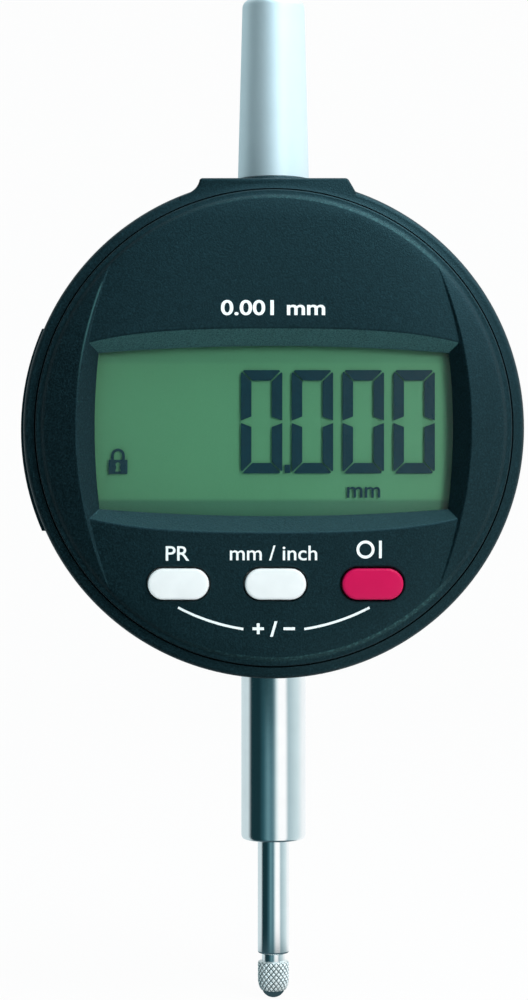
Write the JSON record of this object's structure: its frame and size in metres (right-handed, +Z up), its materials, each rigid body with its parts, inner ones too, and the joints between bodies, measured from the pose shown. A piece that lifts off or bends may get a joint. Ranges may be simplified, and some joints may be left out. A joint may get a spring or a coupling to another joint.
{
  "type": "digital dial indicator",
  "caption": "Digital dial indicator: round body with a turning display, push buttons, a side battery drawer, a clamping stem and a spring-loaded spindle with a knurled ball contact point",
  "frame": {"origin": "on the spindle's axis, half way along the exposed length of the 8 mm stem, where a stand or fixture clamps it", "axes": "+Z runs up the spindle towards the cap, the display faces -Y, and the battery drawer is on the -X side"},
  "size_m": [0.061, 0.0234, 0.1236],
  "materials": {
    "case_plastic": "fine matt texture",
    "satin_aluminium": "satin",
    "ground_steel": "ground and polished",
    "hard_ball": "polished",
    "screw_steel": "satin",
    "spring_steel": "bright",
    "cell_steel": "nickel plated",
    "cast_alloy": "as cast",
    "bush_bronze": "machined",
    "black_rubber": "matt",
    "clear_window": "clear gloss",
    "crystal_glass": "satin polariser",
    "scale_glass": "polished",
    "circuit_board": "solder resist",
    "chip_plastic": "moulded",
    "white_button": "smooth satin",
    "red_button": "smooth satin"
  },
  "bodies": {
    "body": {"housing": "case_plastic", "rear_cover": "case_plastic", "rear_screw_1": "screw_steel", "rear_screw_2": "screw_steel", "rear_screw_3": "screw_steel", "rear_screw_4": "screw_steel", "chassis": "cast_alloy", "stem": "ground_steel", "stem_wiper": "black_rubber", "lower_bush": "bush_bronze", "upper_bush": "bush_bronze", "cap_collar": "case_plastic", "spindle_cap": "satin_aluminium", "damper_ring": "black_rubber", "sensor_board": "circuit_board", "board_screw_1": "screw_steel", "board_screw_2": "screw_steel", "board_screw_3": "screw_steel", "board_screw_4": "screw_steel", "processor_chip": "chip_plastic", "battery_contact_minus": "spring_steel", "battery_contact_plus": "spring_steel"},
    "spindle_assembly": {"spindle": "ground_steel", "stop_collar": "ground_steel", "scale_carrier": "cast_alloy", "guide_pin": "ground_steel", "measuring_scale": "scale_glass", "contact_point": "ground_steel", "contact_ball": "hard_ball", "return_spring": "spring_steel"},
    "display": {"front_cover": "case_plastic", "display_window": "clear_window", "crystal_panel": "crystal_glass", "panel_frame": "case_plastic", "contact_strip_upper": "black_rubber", "contact_strip_lower": "black_rubber", "display_board": "circuit_board", "keypad_mat": "black_rubber", "preset_switch": "spring_steel", "unit_switch": "spring_steel", "power_switch": "spring_steel", "display_seal": "black_rubber", "display_circlip": "spring_steel"},
    "preset": {"preset_button": "white_button"},
    "unit": {"unit_button": "white_button"},
    "power": {"power_button": "red_button"},
    "drawer": {"battery_drawer": "case_plastic", "battery": "cell_steel"}
  },
  "joints": [
    {"name": "spindle_slide", "type": "slide", "parent": "body", "child": "spindle_assembly", "axis": [0, 0, 1], "range_m": [0, 0.0125], "stiffness_N_per_m": 40, "springref_m": -0.025, "deforming": ["return_spring"]},
    {"name": "display_turn", "type": "hinge", "parent": "body", "child": "display", "pos_m": [0, 0, 0.0403], "axis": [0, -1, 0], "range_deg": [-140, 140]},
    {"name": "preset_press", "type": "slide", "parent": "display", "child": "preset", "axis": [0, 1, 0], "range_m": [0, 0.0005], "stiffness_N_per_m": 1500, "springref_m": -0.0003},
    {"name": "unit_press", "type": "slide", "parent": "display", "child": "unit", "axis": [0, 1, 0], "range_m": [0, 0.0005], "stiffness_N_per_m": 1500, "springref_m": -0.0003},
    {"name": "power_press", "type": "slide", "parent": "display", "child": "power", "axis": [0, 1, 0], "range_m": [0, 0.0005], "stiffness_N_per_m": 1500, "springref_m": -0.0003},
    {"name": "drawer_slide", "type": "slide", "parent": "body", "child": "drawer", "axis": [-1, 0, 0], "range_m": [0, 0.022]}
  ]
}
